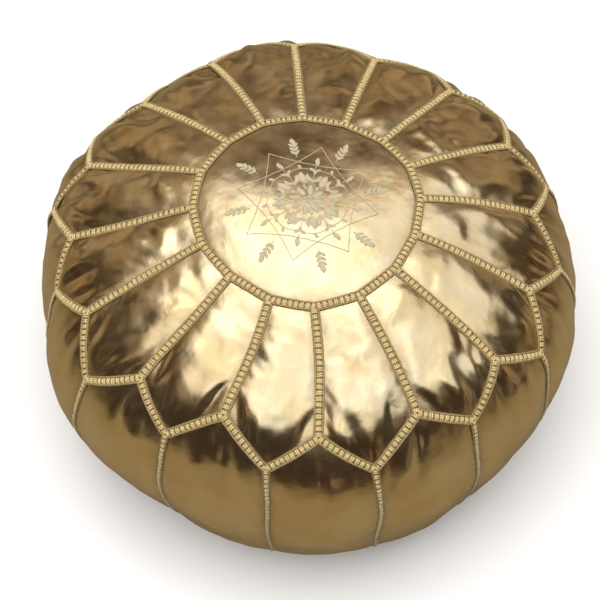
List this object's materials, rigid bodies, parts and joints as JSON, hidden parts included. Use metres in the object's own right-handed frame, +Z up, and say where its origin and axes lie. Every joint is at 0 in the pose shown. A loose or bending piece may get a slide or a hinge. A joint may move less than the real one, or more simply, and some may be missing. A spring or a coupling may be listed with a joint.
{
  "type": "moroccan leather pouf",
  "caption": "Low round stuffed pouf with a pointed-petal leather cover, braided seams, star embroidery on top and a zip in the base.",
  "frame": {"origin": "centre of the base, on the floor", "axes": "+Z up through the middle of the top disc; the zip in the base runs along Y and closes towards +Y; one radial seam of the crown lies over +X and one over +Y"},
  "size_m": [0.52, 0.52, 0.3138],
  "materials": {
    "foil_leather": "gold foil, glossy, fine grain",
    "base_leather": "gold foil, duller, fine grain",
    "braid_thread": "silky gold thread",
    "embroidery_thread": "silky gold thread",
    "zip_tape": "woven tape",
    "zip_metal": "polished",
    "bag_cotton": "plain weave cotton",
    "stuffing": "cotton wadding"
  },
  "bodies": {
    "cover": {"top_disc": "foil_leather", "crown_petal_01": "foil_leather", "crown_petal_02": "foil_leather", "crown_petal_03": "foil_leather", "crown_petal_04": "foil_leather", "crown_petal_05": "foil_leather", "crown_petal_06": "foil_leather", "crown_petal_07": "foil_leather", "crown_petal_08": "foil_leather", "crown_petal_09": "foil_leather", "crown_petal_10": "foil_leather", "crown_petal_11": "foil_leather", "crown_petal_12": "foil_leather", "crown_petal_13": "foil_leather", "crown_petal_14": "foil_leather", "crown_petal_15": "foil_leather", "crown_petal_16": "foil_leather", "side_panel_01": "foil_leather", "side_panel_02": "foil_leather", "side_panel_03": "foil_leather", "side_panel_04": "foil_leather", "side_panel_05": "foil_leather", "side_panel_06": "foil_leather", "side_panel_07": "foil_leather", "side_panel_08": "foil_leather", "side_panel_09": "foil_leather", "side_panel_10": "foil_leather", "side_panel_11": "foil_leather", "side_panel_12": "foil_leather", "side_panel_13": "foil_leather", "side_panel_14": "foil_leather", "side_panel_15": "foil_leather", "side_panel_16": "foil_leather", "base_panel_left": "base_leather", "base_panel_right": "base_leather", "disc_ring_braid": "braid_thread", "radial_braids": "braid_thread", "zigzag_braids": "braid_thread", "side_braids": "braid_thread", "base_seam_braid": "braid_thread", "star_embroidery": "embroidery_thread", "sprig_embroidery": "embroidery_thread", "rosette_embroidery": "embroidery_thread", "zip_tape_left": "zip_tape", "zip_tape_right": "zip_tape", "zip_teeth_left": "zip_metal", "zip_teeth_right": "zip_metal", "zip_top_stops": "zip_metal", "zip_bottom_stop": "zip_metal", "zip_stitches": "braid_thread", "inner_bag": "bag_cotton", "stuffing": "stuffing"},
    "slider": {"zip_slider": "zip_metal"},
    "pull_tab": {"zip_pull_tab": "zip_metal"}
  },
  "joints": [
    {"name": "zip_slide", "type": "slide", "parent": "cover", "child": "slider", "axis": [0, -1, 0], "range_m": [0, 0.214], "deforming": ["zip_teeth_left", "zip_teeth_right"]},
    {"name": "pull_tab_hinge", "type": "hinge", "parent": "slider", "child": "pull_tab", "pos_m": [0, 0.11, 0.0039], "axis": [1, 0, 0], "range_deg": [0, 170]}
  ]
}
